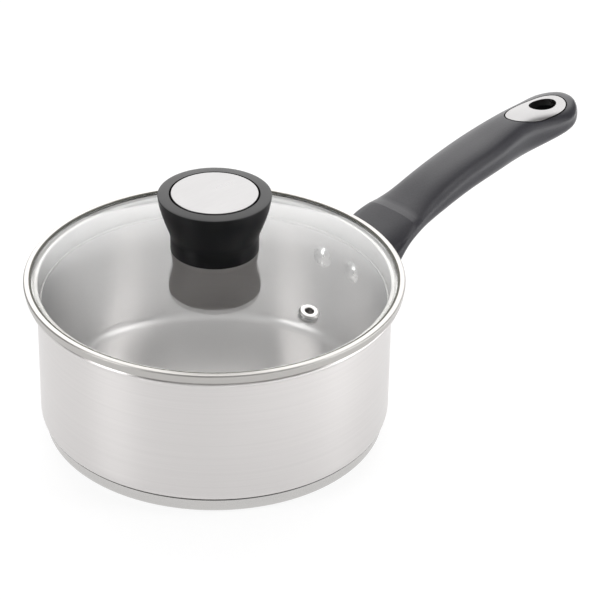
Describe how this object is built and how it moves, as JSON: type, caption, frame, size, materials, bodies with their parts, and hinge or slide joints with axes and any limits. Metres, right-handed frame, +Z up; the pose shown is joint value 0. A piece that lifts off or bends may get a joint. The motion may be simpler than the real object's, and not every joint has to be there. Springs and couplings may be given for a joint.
{
  "type": "saucepan with glass lid",
  "caption": "Round stainless saucepan with a capsule base, a moulded side handle with a hanging hole, and a domed glass lid with a steel band, a steam vent and a knob.",
  "frame": {"origin": "centre of the underside of the base, on the surface the pan stands on", "axes": "+Z up along the pan's axis, +X towards the end of the handle"},
  "size_m": [0.3733, 0.1944, 0.1335],
  "materials": {
    "pan_steel": "satin brushed",
    "base_steel": "spun satin",
    "core_aluminium": "sealed inside the base",
    "band_steel": "polished stainless",
    "rivet_steel": "satin",
    "trim_steel": "fine satin",
    "screw_steel": "zinc plated",
    "brass": "turned",
    "lid_glass": "clear tempered",
    "handle_plastic": "fine textured phenolic",
    "knob_plastic": "fine textured phenolic",
    "silicone": "translucent silicone"
  },
  "bodies": {
    "pan": {"vessel": "pan_steel", "base_core": "core_aluminium", "base_capsule": "base_steel", "handle_bracket": "screw_steel", "handle_rivets": "rivet_steel", "handle_grip": "handle_plastic", "handle_inlay": "trim_steel", "handle_screw": "screw_steel", "handle_washer": "screw_steel"},
    "lid": {"lid_glass": "lid_glass", "lid_band": "band_steel", "vent_eyelet": "band_steel", "vent_washer": "band_steel", "knob_body": "knob_plastic", "knob_disc": "trim_steel", "knob_insert": "brass", "knob_screw": "screw_steel", "knob_washer": "screw_steel", "knob_gasket_lower": "silicone", "knob_gasket_upper": "silicone"}
  },
  "joints": [
    {"name": "lid_lift", "type": "slide", "parent": "pan", "child": "lid", "axis": [0, 0, 1], "range_m": [0, 0.12]}
  ]
}
